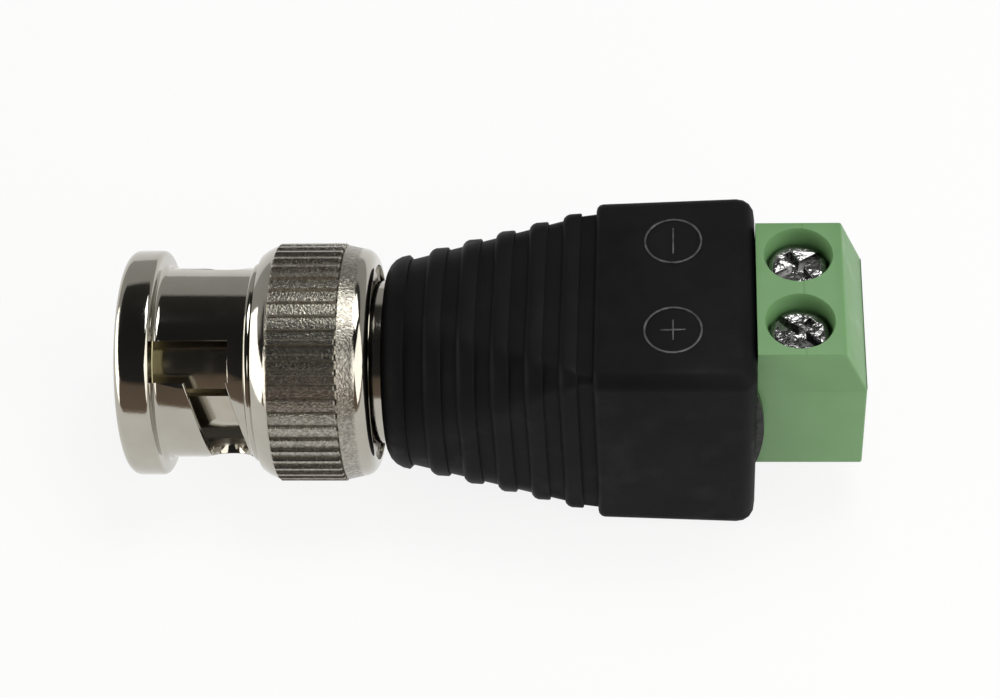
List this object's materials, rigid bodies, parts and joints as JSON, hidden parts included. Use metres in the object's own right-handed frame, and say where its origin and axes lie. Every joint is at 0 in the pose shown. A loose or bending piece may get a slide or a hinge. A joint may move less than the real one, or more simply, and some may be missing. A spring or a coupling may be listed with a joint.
{
  "type": "bnc screw terminal adapter",
  "caption": "Bayonet coaxial plug with a knurled coupling sleeve, ribbed black housing and a green screw terminal block for two bare wires.",
  "frame": {"origin": "on the plug's axis at the outer contact's tip plane", "axes": "+X along the axis from the plug back to the terminal block, +Z towards the clamp screws, +Y to the minus pole"},
  "size_m": [0.0447, 0.0146, 0.0146],
  "materials": {
    "nickel_plate": "nickel plated brass, polished",
    "spring_steel": "spring steel",
    "gasket_rubber": "soft, matte",
    "contact_brass": "thinly plated brass",
    "white_insulator": "waxy white",
    "gold_plate": "gold plated",
    "black_moulding": "satin moulded",
    "black_resin": "cast resin",
    "red_insulation": "wire insulation",
    "black_insulation": "wire insulation",
    "green_moulding": "satin moulded",
    "zinc_plate": "bright zinc plated",
    "cage_plate": "plated brass",
    "tinned_copper": "tinned"
  },
  "bodies": {
    "adapter": {"plug_body": "nickel_plate", "contact_sleeve": "contact_brass", "plug_insulator": "white_insulator", "rear_insulator": "white_insulator", "centre_pin": "gold_plate", "sealing_gasket": "gasket_rubber", "wave_washer": "spring_steel", "housing": "black_moulding", "sealing_resin": "black_resin", "signal_wire": "red_insulation", "ground_wire": "black_insulation", "terminal_body": "green_moulding", "contact_bar_plus": "tinned_copper", "contact_bar_minus": "tinned_copper"},
    "carriage": {"thrust_washer": "spring_steel"},
    "coupling": {"coupling_sleeve": "nickel_plate", "retaining_ring": "nickel_plate"},
    "plus_screw": {"screw_plus": "zinc_plate"},
    "minus_screw": {"screw_minus": "zinc_plate"},
    "plus_cage": {"cage_plus": "cage_plate"},
    "minus_cage": {"cage_minus": "cage_plate"}
  },
  "joints": [
    {"name": "coupling_slide", "type": "slide", "parent": "adapter", "child": "carriage", "axis": [-1, 0, 0], "range_m": [0, 0.0005], "stiffness_N_per_m": 3000, "springref_m": -0.0002, "deforming": ["wave_washer"]},
    {"name": "coupling_turn", "type": "hinge", "parent": "carriage", "child": "coupling", "pos_m": [0, 0, 0], "axis": [-1, 0, 0], "continuous": true},
    {"name": "plus_screw_turn", "type": "hinge", "parent": "adapter", "child": "plus_screw", "pos_m": [0.03896, -0.00254, 0], "axis": [0, 0, 1], "range_deg": [-1350, 0]},
    {"name": "plus_cage_rise", "type": "slide", "parent": "adapter", "child": "plus_cage", "axis": [0, 0, 1], "range_m": [0, 0.00187]},
    {"name": "minus_screw_turn", "type": "hinge", "parent": "adapter", "child": "minus_screw", "pos_m": [0.03896, 0.00254, 0], "axis": [0, 0, 1], "range_deg": [-1350, 0]},
    {"name": "minus_cage_rise", "type": "slide", "parent": "adapter", "child": "minus_cage", "axis": [0, 0, 1], "range_m": [0, 0.00187]}
  ],
  "couplings": [
    {"joint": "plus_screw_turn", "follows": "plus_cage_rise", "rad_per_m": -12566},
    {"joint": "minus_screw_turn", "follows": "minus_cage_rise", "rad_per_m": -12566}
  ]
}
